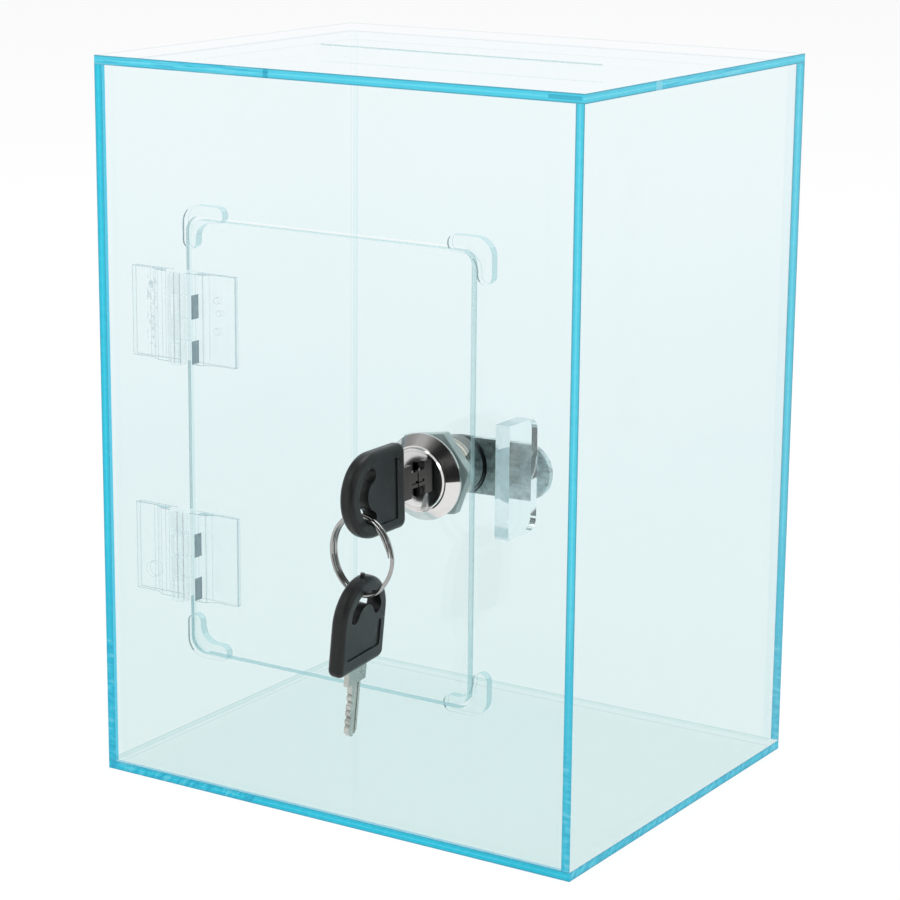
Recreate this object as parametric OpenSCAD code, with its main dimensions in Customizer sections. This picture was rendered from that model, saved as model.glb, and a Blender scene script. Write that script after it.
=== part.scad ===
// Ballot box of clear acrylic sheet, with a slotted top and a hinged, locked door.
// Millimetres. X runs right along the front, Y runs towards the back, Z runs up.
// The origin is the middle of the underside, which rests on the table.

/* [Box] */
// Width of the box, left to right
box_w = 150; // [120:1:260]
// Depth of the box, front to back
box_d = 120; // [100:1:240]
// Height of the box
box_h = 200; // [170:1:360]
// Thickness of the acrylic sheet
sheet_t = 2.5; // [2:0.1:4]

/* [Ballot slot] */
// Length of the slot in the top
slot_len = 90; // [40:1:110]
// Width of the slot in the top
slot_w = 3; // [2:0.1:8]

/* [Door] */
// Width of the opening in the front panel
opening_w = 90; // [80:1:110]
// Height of the opening in the front panel
opening_h = 120; // [90:1:150]
// Corner radius of the opening
opening_r = 4.5; // [2:0.1:10]
// Gap round the door, as wide as the cut that freed it
door_gap = 1; // [0.5:0.1:2]
// Air between the door and the stops behind it
door_rest_gap = 0.3; // [0.2:0.05:0.6]

/* [Door stops] */
// Length of a stop's level leg
stop_leg_x = 13.2; // [10:0.1:20]
// Length of a stop's upright leg
stop_leg_z = 11.8; // [10:0.1:20]
// Width of a stop's legs
stop_leg_w = 4.4; // [3.5:0.1:8]
// Radius inside a stop's corner
stop_inner_r = 4.5; // [2:0.1:6]
// Radius outside a stop's corner
stop_outer_r = 5; // [2:0.1:7]
// How far a stop reaches beyond the opening's edge
stop_beyond_edge = 3.1; // [2:0.1:4]
// How far a stop reaches above or below the opening's edge
stop_above_edge = 2.3; // [2:0.1:4]

/* [Hinges] */
// Height of a hinge
hinge_h = 24.4; // [16:0.1:40]
// Width of one leaf, from the pin to its outer edge
leaf_w = 17.1; // [14:0.1:30]
// Thickness of a leaf
leaf_t = 1.5; // [1:0.1:2]
// Thickness of a leaf's root beside the knuckles
root_t = 3.4; // [2:0.1:3.8]
// Distance from the panel's face to the pin
pin_stand_off = 4.3; // [4:0.1:6]
// Outer radius of the knuckles
knuckle_r = 2.5; // [2:0.1:3]
// Radius of the pin
pin_r = 1; // [0.7:0.05:1.4]
// Gap between neighbouring knuckles
knuckle_gap = 0.3; // [0.2:0.05:0.6]
// Height of the upper hinge's middle
upper_hinge_z = 133; // [115:1:170]
// Height of the lower hinge's middle
lower_hinge_z = 67.8; // [30:1:85]

/* [Lock] */
// Distance of the lock's axis from the box's middle
lock_x = 30.3; // [26:0.1:34]
// Height of the lock's axis
lock_z = 100; // [80:1:120]
// Turn of the lock in its hole, anticlockwise from the front
lock_turn_in_hole = 1.5; // [-5:0.5:5]
// Outer radius of the face ring
face_ring_r = 11.25; // [10:0.05:13]
// Distance that the lock's face stands off the door
face_stand_off = 3.7; // [3:0.1:6]
// Outer radius of the threaded barrel
barrel_r = 7.9; // [7:0.1:9]
// Length of the barrel behind the door's front face
barrel_len = 16.3; // [12:0.1:25]
// Radius of the plug's head
plug_head_r = 7.3; // [6.5:0.1:7.5]
// Radius of the plug's body
plug_body_r = 5.4; // [5:0.1:6]
// Width of the lock nut across its flats
nut_flats = 21.3; // [18:0.1:24]
// Thickness of the lock nut
nut_t = 2.7; // [2:0.1:4]
// Turn of the lock nut
nut_turn = 12; // [0:1:60]

/* [Cam and catch] */
// Width of the cam
cam_w = 14.8; // [10:0.1:18]
// Distance from the lock's axis to the cam's tip
cam_reach = 27.2; // [24:0.1:32]
// Thickness of the cam
cam_t = 1.7; // [1.2:0.1:3]
// Radius of the plug's tail, which carries the cam
tail_r = 3.4; // [3:0.1:4]
// Width of the plug's tail across its flats
tail_flats = 5; // [4:0.1:6]
// Width of the cam nut across its flats
cam_nut_flats = 10; // [8:0.1:12]
// Thickness of the cam nut
cam_nut_t = 2.4; // [2:0.1:4]
// Distance from the opening's edge to the catch block
catch_offset = 4.8; // [4:0.1:8]
// Thickness of the catch block
catch_t = 4.1; // [3:0.1:6]
// Height of the catch block
catch_h = 29.6; // [20:0.1:36]
// Height of the catch block's middle above the lock's axis
catch_rise = 0.8; // [-4:0.1:4]
// Corner radius of the catch block
catch_r = 3.5; // [1:0.1:6]
// Air between the catch block and the cam behind it
catch_gap = 0.3; // [0.2:0.05:0.8]

/* [Keys] */
// Length of a key's moulded bow
bow_len = 24.3; // [20:0.1:28]
// Width of a key's bow
bow_w = 21.7; // [18:0.1:28]
// Thickness of a key's bow
bow_t = 4.1; // [3:0.1:6]
// Rounding of the bow's rim
bow_rim_r = 1.5; // [0.5:0.1:1.8]
// Corner radius at the bow's straight end
bow_corner_r = 2.2; // [1.6:0.1:4]
// Radius of the curved slot's middle line
bow_slot_r = 5.8; // [5:0.1:7]
// Half of the curved slot's width
bow_slot_half = 1.85; // [1.8:0.05:2]
// Distance from the straight end to the centre of the slot's curve
bow_slot_centre = 13.2; // [12:0.1:15]
// Angle from the slot's middle to either end
bow_slot_angle = 68; // [50:1:70]
// Depth of the panel sunk into each side of the bow
bow_panel_depth = 0.35; // [0.2:0.05:0.6]
// Length of the metal shoulder next to the bow
shoulder_len = 4.4; // [2:0.1:6]
// Width of the metal shoulder
shoulder_w = 8.6; // [7:0.1:9]
// Length of the blade beyond the shoulder
blade_len = 14.6; // [12:0.1:15]
// Width of the blade
blade_w = 4.1; // [3:0.1:5]
// Thickness of the key's metal
blade_t = 1.4; // [1.2:0.1:2.2]
// How far the blade lies off the shoulder's middle line
blade_offset = 0.2; // [0:0.05:1.5]
// How far the bow's middle line lies off the shoulder's
bow_rise = 0.5; // [0:0.05:1]
// How far the key in the lock stands out from fully home
key_out = 7.15; // [0:0.05:9]

/* [Split ring] */
// Radius of the ring's middle line
ring_r = 10.1; // [9:0.1:14]
// Thickness of the ring's wire
ring_wire = 1; // [0.8:0.05:1.2]
// Distance between the ring's two coils
ring_pitch = 1.45; // [1.4:0.05:1.6]
// Angle over which the wire crosses from one coil to the other
ring_cross_angle = 60; // [40:5:80]
// Turn of the ring, seen from above
ring_yaw = -11.4; // [-15:0.1:15]
// Distance of the ring's middle to the left of the key's
ring_to_left = 1; // [-1:0.1:1.5]
// Height of the ring's wire above the middle of the slot's end
ring_lift = 0.15; // [0.1:0.05:0.5]

/* [Spare key] */
// Turn of the spare key on the ring, seen from above
spare_yaw = 4.2; // [-15:0.1:15]
// Lean of the spare key to the left at its tip
spare_lean = 6.3; // [-8:0.1:8]
// Swing of the spare key towards the door at its tip
spare_swing = 2; // [-10:0.5:10]
// Air between the ring's lowest point and the slot's rim
spare_rim_gap = 1.15; // [1.1:0.05:1.3]
// Length of the spare's sprue stub
stub_h = 0.8; // [0.4:0.1:1.2]
// Radius of the sprue stub
stub_r = 0.6; // [0.4:0.05:0.9]

/* [Fits] */
// Radial clearance of a turning fit
run_fit = 0.05; // [0.02:0.01:0.1]
// Clearance all round a loose part
loose_fit = 0.15; // [0.1:0.05:0.3]

/* [Hidden] */
$fn = 64;

acrylic = [0.85, 0.95, 0.96, 0.45];
cut_acrylic = [0.30, 0.80, 0.90, 0.8];
nickel = [0.72, 0.73, 0.72];
chrome_grey = [0.80, 0.80, 0.80];
black_plastic = [0.17, 0.18, 0.18];

front_y = -box_d / 2;
front_back_y = front_y + sheet_t;
inner_w = box_w - 2 * sheet_t;
inner_h = box_h - 2 * sheet_t;
mid_z = box_h / 2;
opening_edge = opening_w / 2;
door_front_y = front_y - door_rest_gap;
door_w = opening_w - 2 * door_gap;
door_h = opening_h - 2 * door_gap;
door_r = opening_r - door_gap;

stop_outer_x = opening_edge + stop_beyond_edge;
stop_outer_z = opening_h / 2 + stop_above_edge;

pin_x = -opening_edge - 0.1;
pin_y = front_y - pin_stand_off;
knuckle_count = 4;
knuckle_step = (hinge_h + knuckle_gap) / knuckle_count;
knuckle_h = knuckle_step - knuckle_gap;
window_w = 4.1;
leaf_inner_edge = 1.7;
ramp_end = 7.2;
ramp_start = 10.1;
pin_bore_r = pin_r + run_fit;

face_y = -face_stand_off;
flange_t = 0.9;
lock_hole_r = barrel_r + loose_fit;
head_len = 3;
cam_front = barrel_len + 0.3;
cam_back = cam_front + cam_t;
cam_nut_front = cam_back;
tail_end = cam_nut_front + cam_nut_t;
catch_depth = front_y + cam_front - door_rest_gap - catch_gap - front_back_y;

keyway_deep = shoulder_len + loose_fit;
blade_bore_len = blade_len + 0.3;
key_home_y = face_y - 0.15;
bow_end_y = key_home_y - key_out;

bow_arch_r = bow_w / 2;
bow_arch_u = bow_len - bow_arch_r;
slot_end_u = bow_slot_centre + bow_slot_r * cos(bow_slot_angle);
slot_end_v = bow_slot_r * sin(bow_slot_angle);
corner_v = bow_w / 2 - bow_corner_r;
rim_sides = 24;
panel_middle_u = 7.7;
panel_len = 7.2;
panel_border = 2.95;
tang_len = 5;
tang_w = 6;
key_cuts = [0.7, 1.1, 0.5, 1.1, 0.8];
first_cut = 3;
cut_step = 2.1;
groove_off = 0.75;
groove_w = 0.7;
groove_depth = 0.3;

ring_y = door_front_y + bow_end_y - slot_end_u;
ring_top_z = lock_z + bow_rise - slot_end_v + ring_lift;
ring_centre_z = ring_top_z - ring_r;
ring_x = lock_x - ring_to_left;
ring_low_z = ring_centre_z - ring_r;
rings_per_loop = 24;
ring_sides = 6;
ring_total_angle = 710 - ring_cross_angle;
ring_steps = floor(ring_total_angle / 360 * rings_per_loop);
ring_split_at = 22;

spare_pivot_u = bow_slot_centre + bow_slot_r + bow_slot_half - ring_wire / 2 - spare_rim_gap;

// The ring's wire: how far round, and how far along the ring's axis, for step i
function ring_turn(i) = i * ring_total_angle / ring_steps;
function smooth(t) = t <= 0 ? 0 : t >= 1 ? 1 : t * t * (3 - 2 * t);
function ring_shift(a) = ring_pitch * (0.5 - smooth((a - 360 + ring_cross_angle) / ring_cross_angle));
function ring_point(i) =
    let (a = ring_turn(i) + ring_split_at)
    [ring_r * cos(a), ring_shift(ring_turn(i)), ring_r * sin(a)];
ring_line = [for (i = [0 : ring_steps]) ring_point(i)];
ring_least_gap = min([
    for (i = [0 : ring_steps], j = [0 : ring_steps])
        if (j > i + rings_per_loop / 2) norm(ring_line[i] - ring_line[j])
]) - ring_wire;
echo(ring_least_gap = ring_least_gap, ring_x = ring_x, ring_y = ring_y, ring_top_z = ring_top_z);

module rounded_rect(w, h, r) {
    square([w - 2 * r, h], center = true);
    square([w, h - 2 * r], center = true);
    for (sx = [-1, 1], sy = [-1, 1])
        translate([sx * (w / 2 - r), sy * (h / 2 - r)]) circle(r);
}

// Stands a drawing in X and Z upright, from y to y + t towards the back
module upright(y, t) {
    translate([0, y + t, 0]) rotate([90, 0, 0]) linear_extrude(t) children();
}

// The lock's own frame: its axis runs along Y, with 0 on the door's front face
module at_lock() {
    translate([lock_x, door_front_y, lock_z]) rotate([0, -lock_turn_in_hole, 0]) children();
}

// A round bar along Y in the lock's frame
module along_y(y0, y1, r, sides = 64) {
    translate([0, y1, 0]) rotate([90, 0, 0]) cylinder(h = y1 - y0, r = r, $fn = sides);
}

module front_panel() {
    color(acrylic) upright(front_y, sheet_t) difference() {
        translate([0, mid_z]) square([inner_w, inner_h], center = true);
        translate([0, mid_z]) rounded_rect(opening_w, opening_h, opening_r);
    }
}

module back_panel() {
    color(acrylic) upright(-front_back_y, sheet_t)
        translate([0, mid_z]) square([inner_w, inner_h], center = true);
}

module side_panel(side) {
    color(acrylic) translate([side * (box_w - sheet_t) / 2, 0, mid_z])
        cube([sheet_t, box_d, inner_h], center = true);
}

module left_side_panel() { side_panel(-1); }
module right_side_panel() { side_panel(1); }

module top_panel() {
    color(cut_acrylic) translate([0, 0, box_h - sheet_t]) linear_extrude(sheet_t) difference() {
        square([box_w, box_d], center = true);
        square([slot_len, slot_w], center = true);
    }
}

module bottom_panel() {
    color(cut_acrylic) linear_extrude(sheet_t) square([box_w, box_d], center = true);
}

// An L with its outer corner at the origin and its legs along +X and +Y
module stop_outline() {
    end_r = stop_leg_w / 2;
    difference() {
        union() {
            square([stop_leg_x - end_r, stop_leg_w]);
            translate([stop_leg_x - end_r, end_r]) circle(end_r);
            square([stop_leg_w, stop_leg_z - end_r]);
            translate([end_r, stop_leg_z - end_r]) circle(end_r);
            difference() {
                square(stop_leg_w + stop_inner_r);
                translate([1, 1] * (stop_leg_w + stop_inner_r)) circle(stop_inner_r);
            }
        }
        difference() {
            translate([-1, -1]) square(stop_outer_r + 1);
            translate([stop_outer_r, stop_outer_r]) circle(stop_outer_r);
        }
    }
}

module door_stop(side, up) {
    color(acrylic) upright(front_back_y, sheet_t)
        translate([side * stop_outer_x, mid_z + up * stop_outer_z])
            mirror([side > 0 ? 1 : 0, 0]) mirror([0, up > 0 ? 1 : 0]) stop_outline();
}

module upper_left_door_stop() { door_stop(-1, 1); }
module upper_right_door_stop() { door_stop(1, 1); }
module lower_left_door_stop() { door_stop(-1, -1); }
module lower_right_door_stop() { door_stop(1, -1); }

module catch_block() {
    color(acrylic)
        translate([opening_edge + catch_offset, front_back_y, lock_z + catch_rise])
            rotate([90, 0, 90]) linear_extrude(catch_t) {
                translate([0, -catch_h / 2]) square([catch_depth - catch_r, catch_h]);
                translate([0, catch_r - catch_h / 2]) square([catch_depth, catch_h - 2 * catch_r]);
                for (s = [-1, 1])
                    translate([catch_depth - catch_r, s * (catch_h / 2 - catch_r)]) circle(catch_r);
            }
}

// One hinge leaf about its pin, reaching along +X, with the panel's face at y = seat_y.
// Knuckle k counts from the bottom; the leaf has every second one, starting with first_knuckle.
module hinge_leaf(first_knuckle, seat_y) {
    leaf_face = pin_stand_off - leaf_t;
    root_face = pin_stand_off - root_t;
    difference() {
        union() {
            linear_extrude(hinge_h) polygon([
                [leaf_inner_edge, seat_y], [leaf_w, seat_y], [leaf_w, leaf_face],
                [ramp_start, leaf_face], [ramp_end, root_face], [leaf_inner_edge, root_face]
            ]);
            for (k = [first_knuckle : 2 : knuckle_count - 1])
                translate([0, 0, k * knuckle_step]) {
                    cylinder(h = knuckle_h, r = knuckle_r);
                    linear_extrude(knuckle_h) polygon([
                        [0, -knuckle_r * 0.6], [leaf_inner_edge + 1, root_face],
                        [leaf_inner_edge + 1, leaf_face], [0, knuckle_r * 0.9]
                    ]);
                }
        }
        for (k = [1 - first_knuckle : 2 : knuckle_count - 1])
            translate([-window_w, -window_w, k * knuckle_step - knuckle_gap])
                cube([2 * window_w, 3 * window_w, knuckle_h + 2 * knuckle_gap]);
        translate([0, 0, -1]) cylinder(h = hinge_h + 2, r = pin_bore_r, $fn = 48);
    }
}

module at_hinge(z) {
    translate([pin_x, pin_y, z - hinge_h / 2]) children();
}

module frame_leaf() {
    color(acrylic) translate([0, 0, hinge_h]) rotate([0, 180, 0]) hinge_leaf(1, pin_stand_off);
}

module door_leaf() {
    color(acrylic) hinge_leaf(1, pin_stand_off - door_rest_gap);
}

module hinge_pin() {
    color(acrylic) cylinder(h = hinge_h, r = pin_r, $fn = 48);
}

module upper_hinge_frame_leaf() { at_hinge(upper_hinge_z) frame_leaf(); }
module lower_hinge_frame_leaf() { at_hinge(lower_hinge_z) frame_leaf(); }
module upper_hinge_pin() { at_hinge(upper_hinge_z) hinge_pin(); }
module lower_hinge_pin() { at_hinge(lower_hinge_z) hinge_pin(); }
module upper_hinge_door_leaf() { at_hinge(upper_hinge_z) door_leaf(); }
module lower_hinge_door_leaf() { at_hinge(lower_hinge_z) door_leaf(); }

module door_panel() {
    color(acrylic) difference() {
        upright(door_front_y, sheet_t) translate([0, mid_z]) rounded_rect(door_w, door_h, door_r);
        at_lock() along_y(-1, sheet_t + 1, lock_hole_r);
    }
}

// Turned body: a coned face ring and a barrel, drawn as radius against depth
module lock_housing() {
    color(chrome_grey) at_lock() rotate([-90, 0, 0]) rotate_extrude() polygon([
        [plug_head_r + run_fit, face_y], [plug_head_r + 0.6, face_y], [plug_head_r + 0.9, face_y + 0.5],
        [plug_head_r + 1.3, face_y + 0.5], [face_ring_r - 0.3, -flange_t], [face_ring_r, -flange_t + 0.3],
        [face_ring_r, 0], [barrel_r, 0], [barrel_r, barrel_len - 0.5], [barrel_r - 0.5, barrel_len],
        [plug_body_r + run_fit, barrel_len], [plug_body_r + run_fit, face_y + head_len + run_fit],
        [plug_head_r + run_fit, face_y + head_len + run_fit]
    ]);
}

module lock_nut() {
    nut_r = nut_flats / 2 / cos(30);
    color(nickel) at_lock() rotate([0, nut_turn, 0]) difference() {
        along_y(sheet_t, sheet_t + nut_t, nut_r, 6);
        along_y(sheet_t - 1, sheet_t + nut_t + 1, barrel_r + run_fit);
    }
}

// The double-D section of the plug's tail
module tail_section(clear = 0) {
    intersection() {
        circle(tail_r + clear, $fn = 64);
        square([2 * tail_r + 2, tail_flats + 2 * clear], center = true);
    }
}

// A slot for the key's flat metal, from y0 to y1 and w high round the height z
module keyway_cut(y0, y1, w, z) {
    slot_t = blade_t + 2 * loose_fit;
    slot_h = w + 2 * loose_fit;
    translate([-slot_t / 2, y0, z - slot_h / 2]) cube([slot_t, y1 - y0, slot_h]);
}

module lock_plug() {
    color(chrome_grey) at_lock() difference() {
        union() {
            along_y(face_y, face_y + head_len, plug_head_r);
            along_y(face_y, barrel_len, plug_body_r);
            rotate([-90, 0, 0]) translate([0, 0, barrel_len - 1])
                linear_extrude(tail_end - barrel_len + 1) tail_section();
        }
        keyway_cut(face_y - 1, face_y + keyway_deep, shoulder_w, 0);
        keyway_cut(face_y, face_y + keyway_deep + blade_bore_len, blade_w, blade_offset);
    }
}

module lock_cam() {
    cam_end_r = cam_w / 2;
    color(nickel) at_lock() rotate([-90, 0, 0]) translate([0, 0, cam_front])
        linear_extrude(cam_t) difference() {
            union() {
                circle(cam_end_r);
                translate([0, -cam_end_r]) square([cam_reach - cam_end_r, cam_w]);
                translate([cam_reach - cam_end_r, 0]) circle(cam_end_r);
            }
            tail_section(run_fit);
        }
}

module cam_nut() {
    cam_nut_r = cam_nut_flats / 2 / cos(30);
    color(nickel) at_lock() rotate([-90, 0, 0]) translate([0, 0, cam_nut_front])
        linear_extrude(cam_nut_t) difference() {
            circle(cam_nut_r, $fn = 6);
            tail_section(run_fit);
        }
}

// A flat disc with a rounded rim, lying level
module rimmed_disc(r) {
    rotate_extrude() intersection() {
        rounded_rect(2 * r, bow_t, bow_rim_r, $fn = rim_sides);
        translate([0, -bow_t]) square([2 * r, 2 * bow_t]);
    }
}

// A bar with the same rounded rim on both sides, w wide, lying along X from x0 to x1
module rimmed_bar(x0, x1, w) {
    translate([x0, 0, 0]) rotate([90, 0, 90]) linear_extrude(x1 - x0)
        rounded_rect(w, bow_t, bow_rim_r, $fn = rim_sides);
}

// Points round an arc from angle a0 towards a1, without the last
function arc(centre, r, a0, a1, n) = [
    for (i = [0 : n - 1])
        let (a = a0 + (a1 - a0) * i / n)
        centre + r * [cos(a), sin(a)]
];

// The curved slot that takes the ring, in the bow's own plane
module bow_slot() {
    a = bow_slot_angle;
    upper_end = bow_slot_r * [cos(a), sin(a)];
    lower_end = bow_slot_r * [cos(a), -sin(a)];
    translate([bow_slot_centre, 0]) polygon(concat(
        arc([0, 0], bow_slot_r + bow_slot_half, -a, a, 24),
        arc(upper_end, bow_slot_half, a, a + 180, 12),
        arc([0, 0], bow_slot_r - bow_slot_half, a, -a, 14),
        arc(lower_end, bow_slot_half, 180 - a, 360 - a, 12)
    ));
}

module bow_panel() {
    translate([panel_middle_u, 0]) rounded_rect(panel_len, bow_w - 2 * panel_border, 0.6);
}

// A key lies with its straight bow end at 0, the bow along +X and the blade along -X.
// Its metal lies on the middle line, and the bow's middle bow_rise beside it.
module key_bow_solid() {
    translate([0, bow_rise, 0]) difference() {
        union() {
            translate([bow_arch_u, 0, 0]) rimmed_disc(bow_arch_r);
            rimmed_bar(bow_corner_r, bow_arch_u, bow_w);
            translate([bow_corner_r, 0, 0]) rotate(90)
                rimmed_bar(-corner_v, corner_v, 2 * bow_corner_r);
            for (s = [-1, 1])
                translate([bow_corner_r, s * corner_v, 0]) rimmed_disc(bow_corner_r);
        }
        translate([0, 0, -bow_t]) linear_extrude(2 * bow_t) bow_slot();
        for (s = [-1, 1])
            translate([0, 0, s * bow_t / 2])
                linear_extrude(2 * bow_panel_depth, center = true) bow_panel();
        translate([0, -bow_rise, 0]) tang();
    }
}

module tang() {
    translate([-1, -tang_w / 2, -blade_t / 2]) cube([tang_len + 1, tang_w, blade_t]);
}

// Shoulder and blade, with the cuts along one edge and a groove in each face
module key_blade_solid() {
    blade_start = -shoulder_len;
    blade_end = blade_start - blade_len;
    low = -blade_w / 2;
    high = blade_w / 2;
    translate([0, -tang_w / 2, -blade_t / 2]) cube([tang_len, tang_w, blade_t]);
    difference() {
        translate([0, 0, -blade_t / 2]) linear_extrude(blade_t) {
            translate([blade_start, -shoulder_w / 2]) square([shoulder_len, shoulder_w]);
            translate([0, blade_offset]) difference() {
                polygon([
                    [blade_start, low], [blade_start, high], [blade_end + 1.3, high],
                    [blade_end, high - 1.4], [blade_end, low + 1.3], [blade_end + 1.2, low]
                ]);
                for (k = [0 : len(key_cuts) - 1])
                    translate([blade_start - first_cut - k * cut_step, high])
                        rotate(45) square(key_cuts[k], center = true);
            }
        }
        for (s = [-1, 1])
            translate([blade_end - 1, blade_offset - groove_off, s * blade_t / 2])
                cube([2 * blade_len + 2, groove_w, 2 * groove_depth], center = true);
    }
}

// The key in the lock: its bow points out of the door and its plane is upright
module at_key() {
    at_lock() translate([0, bow_end_y, 0]) rotate([0, -90, 0]) rotate([0, 0, -90]) children();
}

module key_bow() { color(black_plastic) at_key() key_bow_solid(); }
module key_blade() { color(nickel) at_key() key_blade_solid(); }

// One unbroken tube: a ring of corners round the wire at each step, then two end caps
module ring_tube() {
    corners = [
        for (i = [0 : ring_steps], k = [0 : ring_sides - 1])
            let (
                a = ring_turn(i) + ring_split_at,
                b = k * 360 / ring_sides,
                out = [cos(a), 0, sin(a)]
            )
            ring_line[i] + ring_wire / 2 * (cos(b) * out + sin(b) * [0, 1, 0])
    ];
    sides = [
        for (i = [0 : ring_steps - 1], k = [0 : ring_sides - 1])
            let (n = (k + 1) % ring_sides, base = i * ring_sides)
            [base + k, base + n, base + ring_sides + n, base + ring_sides + k]
    ];
    first_cap = [[for (k = [ring_sides - 1 : -1 : 0]) k]];
    last_cap = [[for (k = [0 : ring_sides - 1]) ring_steps * ring_sides + k]];
    polyhedron(points = corners, faces = concat(sides, first_cap, last_cap), convexity = 6);
}

module key_ring() {
    color(chrome_grey) translate([ring_x, ring_y, ring_centre_z]) rotate(ring_yaw) ring_tube();
}

// The spare hangs with its arch up, its slot round the ring's lowest point
module at_spare() {
    translate([ring_x, ring_y, ring_low_z])
        rotate([spare_swing, spare_lean, spare_yaw])
            translate([0, 0, -spare_pivot_u])
                rotate([0, -90, 0]) rotate([180, 0, 0]) children();
}

module spare_key_bow() {
    color(black_plastic) at_spare() {
        key_bow_solid();
        translate([bow_len - 0.3, bow_rise, 0]) rotate([0, 90, 0])
            cylinder(h = stub_h + 0.3, r = stub_r, $fn = 24);
    }
}

module spare_key_blade() { color(nickel) at_spare() key_blade_solid(); }

front_panel();
back_panel();
left_side_panel();
right_side_panel();
top_panel();
bottom_panel();
upper_left_door_stop();
upper_right_door_stop();
lower_left_door_stop();
lower_right_door_stop();
catch_block();
upper_hinge_frame_leaf();
lower_hinge_frame_leaf();
upper_hinge_pin();
lower_hinge_pin();
door_panel();
upper_hinge_door_leaf();
lower_hinge_door_leaf();
lock_housing();
lock_nut();
lock_plug();
lock_cam();
cam_nut();
key_blade();
key_bow();
key_ring();
spare_key_blade();
spare_key_bow();
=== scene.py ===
# %% [markdown]
# # A clear acrylic ballot box with a locked door
#
# The imported model gives every solid at its real place, in metres. This lesson dresses it: clear sheet
# whose cut edges glow blue-green, a plated lock, moulded key bows and a split ring. The frame is
# loaded first and its box is kept.

# %% Load the frame
import math

import bmesh
import bpy
from mathutils import Matrix, Vector


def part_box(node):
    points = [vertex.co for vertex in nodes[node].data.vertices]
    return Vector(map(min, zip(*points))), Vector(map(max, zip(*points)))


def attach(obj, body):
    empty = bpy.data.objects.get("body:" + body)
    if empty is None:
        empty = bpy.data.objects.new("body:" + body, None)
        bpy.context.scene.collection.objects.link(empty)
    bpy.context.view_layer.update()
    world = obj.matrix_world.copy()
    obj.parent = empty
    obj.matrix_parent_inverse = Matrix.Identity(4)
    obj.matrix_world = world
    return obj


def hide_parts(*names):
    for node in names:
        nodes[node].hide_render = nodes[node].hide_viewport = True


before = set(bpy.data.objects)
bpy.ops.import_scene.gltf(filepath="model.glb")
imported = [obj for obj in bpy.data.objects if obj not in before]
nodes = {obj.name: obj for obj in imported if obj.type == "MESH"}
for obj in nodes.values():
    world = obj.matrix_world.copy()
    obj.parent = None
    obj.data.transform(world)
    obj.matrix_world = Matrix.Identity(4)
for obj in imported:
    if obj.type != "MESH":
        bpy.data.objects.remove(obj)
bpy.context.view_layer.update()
MM = 0.001

# %% [markdown]
# ## Camera
#
# The camera stands to the right of the box and a little above it, and looks back to the left. Its
# place, its angles and its lens were fitted to the box's corners, so the picture has the same
# perspective as the photograph without any shift of the lens. A ray may pass many clear layers, since
# it meets the hinges, the door, the panels and the table one behind the other.

# %% Place the camera
CAMERA_PLACE = Vector((405.39, -638.20, 276.03)) * MM
CAMERA_YAW = math.radians(-32.440)
CAMERA_PITCH = math.radians(-13.789)
CAMERA_ROLL = math.radians(0.515)
FOCAL_PIXELS = 2801.7
PICTURE_PIXELS = 900
SENSOR_WIDTH = 36.0
CLEAR_LAYERS = 40

forward = Vector((
    math.sin(CAMERA_YAW) * math.cos(CAMERA_PITCH),
    math.cos(CAMERA_YAW) * math.cos(CAMERA_PITCH),
    math.sin(CAMERA_PITCH),
))
level_right = Vector((math.cos(CAMERA_YAW), -math.sin(CAMERA_YAW), 0))
level_up = level_right.cross(forward)
right = math.cos(CAMERA_ROLL) * level_right + math.sin(CAMERA_ROLL) * level_up
up = math.cos(CAMERA_ROLL) * level_up - math.sin(CAMERA_ROLL) * level_right

camera_data = bpy.data.cameras.new("camera")
camera_data.sensor_width = SENSOR_WIDTH
camera_data.lens = FOCAL_PIXELS / PICTURE_PIXELS * SENSOR_WIDTH
camera_data.clip_start = 0.01
camera = bpy.data.objects.new("camera", camera_data)
camera.matrix_world = Matrix((
    (right.x, up.x, -forward.x, CAMERA_PLACE.x),
    (right.y, up.y, -forward.y, CAMERA_PLACE.y),
    (right.z, up.z, -forward.z, CAMERA_PLACE.z),
    (0, 0, 0, 1),
))
scene = bpy.context.scene
scene.collection.objects.link(camera)
scene.camera = camera
scene.view_settings.view_transform = "Standard"
scene.cycles.transparent_max_bounces = CLEAR_LAYERS
print("lens", round(camera_data.lens, 2), "mm")

# %% [markdown]
# ## A helper for shader nodes
#
# A finish is a small graph of shader nodes. One helper adds a node, sets its inputs by name, and
# takes either a plain value or another node's output, which keeps each finish to a few lines.

# %% Shader helpers
def new_finish(name):
    """An empty material, its node tree and its output node."""
    material = bpy.data.materials.new(name)
    material.use_nodes = True
    tree = material.node_tree
    tree.nodes.clear()
    return material, tree, tree.nodes.new("ShaderNodeOutputMaterial")


def put(tree, kind, inputs=None, **settings):
    """Adds a node; inputs maps a socket's name or number to a value or to another socket."""
    node = tree.nodes.new("ShaderNode" + kind)
    for key, value in settings.items():
        setattr(node, key, value)
    for key, value in (inputs or {}).items():
        if isinstance(value, bpy.types.NodeSocket):
            tree.links.new(value, node.inputs[key])
        else:
            node.inputs[key].default_value = value
    return node


def maths(tree, operation, a, b=0.0, clamp=False):
    """One Math node's output."""
    return put(tree, "Math", {0: a, 1: b}, operation=operation, use_clamp=clamp).outputs[0]


def blend_colour(tree, factor, a, b):
    """A colour between a and b."""
    return put(tree, "Mix", {"Factor": factor, 6: a, 7: b}, data_type="RGBA").outputs[2]


def ramp(tree, factor, stops):
    """A colour ramp through (place, colour) stops."""
    node = put(tree, "ValToRGB", {"Fac": factor})
    points = node.color_ramp.elements
    while len(points) < len(stops):
        points.new(0.5)
    for point, (place, colour) in zip(points, stops):
        point.position = place
        point.color = colour
    return node.outputs["Color"]


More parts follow.
